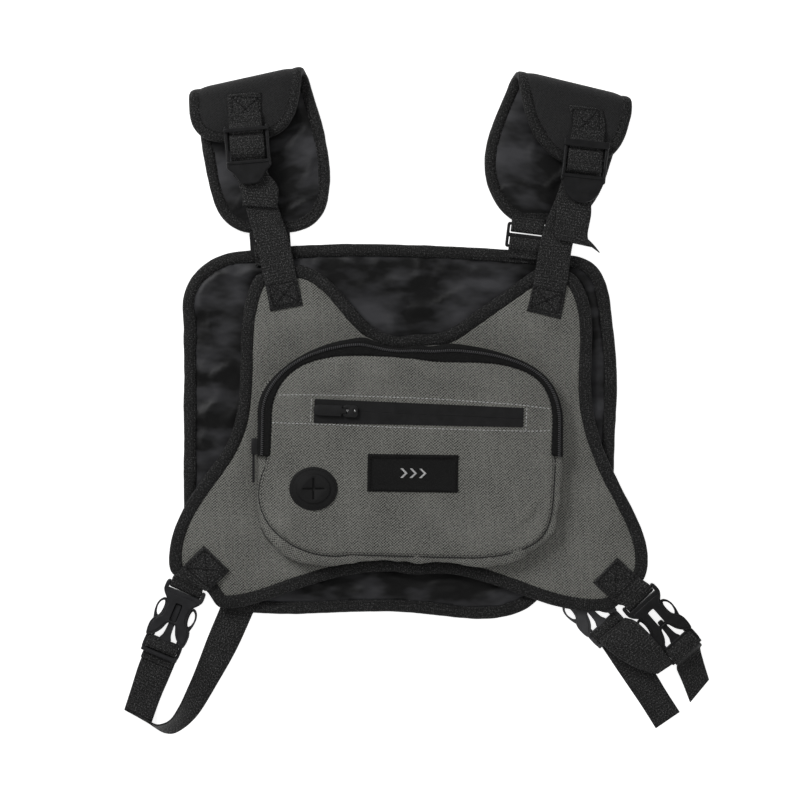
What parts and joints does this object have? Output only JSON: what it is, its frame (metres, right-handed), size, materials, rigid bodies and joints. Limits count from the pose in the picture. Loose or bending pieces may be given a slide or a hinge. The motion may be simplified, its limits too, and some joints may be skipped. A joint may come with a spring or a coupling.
{
  "type": "chest rig vest",
  "caption": "Chest rig vest laid flat: padded front panel with a zipped pocket, lined back panel, folded shoulder pads, webbing straps and side-release buckles.",
  "frame": {"origin": "on the surface that the vest lies on, below the middle of its outline", "axes": "+Z out of the front, +Y to the shoulders, +X to the right as seen from the front"},
  "size_m": [0.441, 0.5034, 0.0304],
  "materials": {
    "grey_fabric": "fine oxford weave, matt",
    "black_lining": "smooth nylon lining with a soft sheen",
    "black_fabric": "black oxford weave",
    "foam": "closed-cell padding",
    "binding": "ribbed binding tape",
    "webbing": "woven webbing",
    "buckle_plastic": "satin moulded plastic",
    "zip_tape": "woven zip tape",
    "zip_coil": "nylon coil",
    "coated_tape": "smooth water-repellent coating",
    "zip_metal": "black lacquered zinc",
    "rubber": "matt rubber",
    "label": "woven label, blank"
  },
  "bodies": {
    "back": {"back_panel_outer": "black_fabric", "back_panel_foam": "foam", "back_panel_lining": "black_lining", "back_panel_binding": "binding", "left_pad_rear": "black_fabric", "left_pad_rear_binding": "binding", "right_pad_rear": "black_fabric", "right_pad_rear_binding": "binding", "left_rear_webbing": "webbing", "right_rear_webbing": "webbing", "left_rear_slide": "buckle_plastic", "right_rear_slide": "buckle_plastic", "rear_tab": "webbing", "rear_buckle_socket": "buckle_plastic", "left_strap": "webbing", "right_link_webbing": "webbing"},
    "front": {"front_panel_lining": "black_lining", "front_panel_foam": "foam", "front_panel_face": "grey_fabric", "front_panel_binding": "binding", "pocket_gusset": "grey_fabric", "pocket_face": "grey_fabric", "main_zip_tape": "zip_tape", "main_zip_teeth": "zip_coil", "front_zip_tape": "coated_tape", "front_pouch": "black_lining", "label_patch": "label", "cable_port": "rubber", "left_pad_front": "black_fabric", "left_pad_front_binding": "binding", "right_pad_front": "black_fabric", "right_pad_front_binding": "binding", "left_anchor_webbing": "webbing", "right_anchor_webbing": "webbing", "left_front_webbing": "webbing", "right_front_webbing": "webbing", "left_front_tab": "webbing", "right_front_tab": "webbing"},
    "main_zip_slider_body": {"main_zip_slider": "zip_metal"},
    "main_zip_pull_body": {"main_zip_pull": "zip_metal"},
    "front_zip_slider_body": {"front_zip_slider": "zip_metal"},
    "front_zip_pull_body": {"front_zip_pull": "zip_metal"},
    "left_lock": {"left_ladder_lock": "buckle_plastic", "left_webbing_tail": "webbing"},
    "right_lock": {"right_ladder_lock": "buckle_plastic", "right_webbing_tail": "webbing"},
    "left_socket": {"left_buckle_socket": "buckle_plastic"},
    "left_plug": {"left_buckle_plug": "buckle_plastic", "left_strap_end": "webbing"},
    "left_arm_a": {"left_squeeze_arm_a": "buckle_plastic"},
    "left_arm_b": {"left_squeeze_arm_b": "buckle_plastic"},
    "right_socket": {"right_buckle_socket": "buckle_plastic"},
    "right_plug": {"right_buckle_plug": "buckle_plastic", "right_front_tail": "webbing"},
    "right_arm_a": {"right_squeeze_arm_a": "buckle_plastic"},
    "right_arm_b": {"right_squeeze_arm_b": "buckle_plastic"},
    "rear_plug": {"rear_buckle_plug": "buckle_plastic", "rear_tail": "webbing"},
    "rear_arm_a": {"rear_squeeze_arm_a": "buckle_plastic"},
    "rear_arm_b": {"rear_squeeze_arm_b": "buckle_plastic"}
  },
  "joints": [
    {"name": "front_lift", "type": "hinge", "parent": "back", "child": "front", "pos_m": [0, 0.253, 0.0245], "axis": [-1, 0, 0], "range_deg": [0, 8]},
    {"name": "main_zip_slide", "type": "slide", "parent": "front", "child": "main_zip_slider_body", "axis": [0.0104, 0.9999, 0], "range_m": [0, 0.03]},
    {"name": "main_zip_pull_swing", "type": "hinge", "parent": "main_zip_slider_body", "child": "main_zip_pull_body", "pos_m": [-0.1215, -0.0404, 0.0205], "axis": [0, 0, -1], "range_deg": [0, 100]},
    {"name": "front_zip_slide", "type": "slide", "parent": "front", "child": "front_zip_slider_body", "axis": [0.999, -0.0436, 0], "range_m": [0, 0.12]},
    {"name": "front_zip_pull_swing", "type": "hinge", "parent": "front_zip_slider_body", "child": "front_zip_pull_body", "pos_m": [-0.05295, -0.0086, 0.0296], "axis": [0.0436, 0.999, 0], "range_deg": [0, 120]},
    {"name": "left_lock_tilt", "type": "hinge", "parent": "front", "child": "left_lock", "pos_m": [-0.127, 0.2015, 0.0226], "axis": [-0.9964, -0.0844, 0], "range_deg": [0, 25]},
    {"name": "right_lock_tilt", "type": "hinge", "parent": "front", "child": "right_lock", "pos_m": [0.1275, 0.1905, 0.0226], "axis": [-0.9941, 0.1084, 0], "range_deg": [0, 25]},
    {"name": "left_buckle_swing", "type": "hinge", "parent": "front", "child": "left_socket", "pos_m": [-0.17268, -0.14161, 0.00605], "axis": [-0.9239, 0.3827, 0], "range_deg": [0, 25]},
    {"name": "left_buckle_release", "type": "slide", "parent": "left_socket", "child": "left_plug", "axis": [-0.3827, -0.9239, 0], "range_m": [0, 0.032]},
    {"name": "left_squeeze_a", "type": "hinge", "parent": "left_plug", "child": "left_arm_a", "pos_m": [-0.17996, -0.1827, 0.00605], "axis": [0, 0, 1], "range_deg": [0, 6], "stiffness_Nm_per_rad": 0.05},
    {"name": "left_squeeze_b", "type": "hinge", "parent": "left_plug", "child": "left_arm_b", "pos_m": [-0.19659, -0.17582, 0.00605], "axis": [0, 0, -1], "range_deg": [0, 6], "stiffness_Nm_per_rad": 0.05},
    {"name": "right_buckle_swing", "type": "hinge", "parent": "front", "child": "right_socket", "pos_m": [0.16685, -0.14844, 0.01185], "axis": [-0.749, -0.6626, 0], "range_deg": [0, 25]},
    {"name": "right_buckle_release", "type": "slide", "parent": "right_socket", "child": "right_plug", "axis": [0.6626, -0.749, 0], "range_m": [0, 0.032]},
    {"name": "right_squeeze_a", "type": "hinge", "parent": "right_plug", "child": "right_arm_a", "pos_m": [0.20059, -0.173, 0.01185], "axis": [0, 0, 1], "range_deg": [0, 6], "stiffness_Nm_per_rad": 0.05},
    {"name": "right_squeeze_b", "type": "hinge", "parent": "right_plug", "child": "right_arm_b", "pos_m": [0.18711, -0.18493, 0.01185], "axis": [0, 0, -1], "range_deg": [0, 6], "stiffness_Nm_per_rad": 0.05},
    {"name": "rear_buckle_release", "type": "slide", "parent": "back", "child": "rear_plug", "axis": [0.682, -0.7314, 0], "range_m": [0, 0.032]},
    {"name": "rear_squeeze_a", "type": "hinge", "parent": "rear_plug", "child": "rear_arm_a", "pos_m": [0.14533, -0.16099, 0.00405], "axis": [0, 0, 1], "range_deg": [0, 6], "stiffness_Nm_per_rad": 0.05},
    {"name": "rear_squeeze_b", "type": "hinge", "parent": "rear_plug", "child": "rear_arm_b", "pos_m": [0.13217, -0.17327, 0.00405], "axis": [0, 0, -1], "range_deg": [0, 6], "stiffness_Nm_per_rad": 0.05}
  ],
  "couplings": [
    {"joint": "left_squeeze_b", "follows": "left_squeeze_a", "ratio": 1},
    {"joint": "right_squeeze_b", "follows": "right_squeeze_a", "ratio": 1},
    {"joint": "rear_squeeze_b", "follows": "rear_squeeze_a", "ratio": 1}
  ]
}
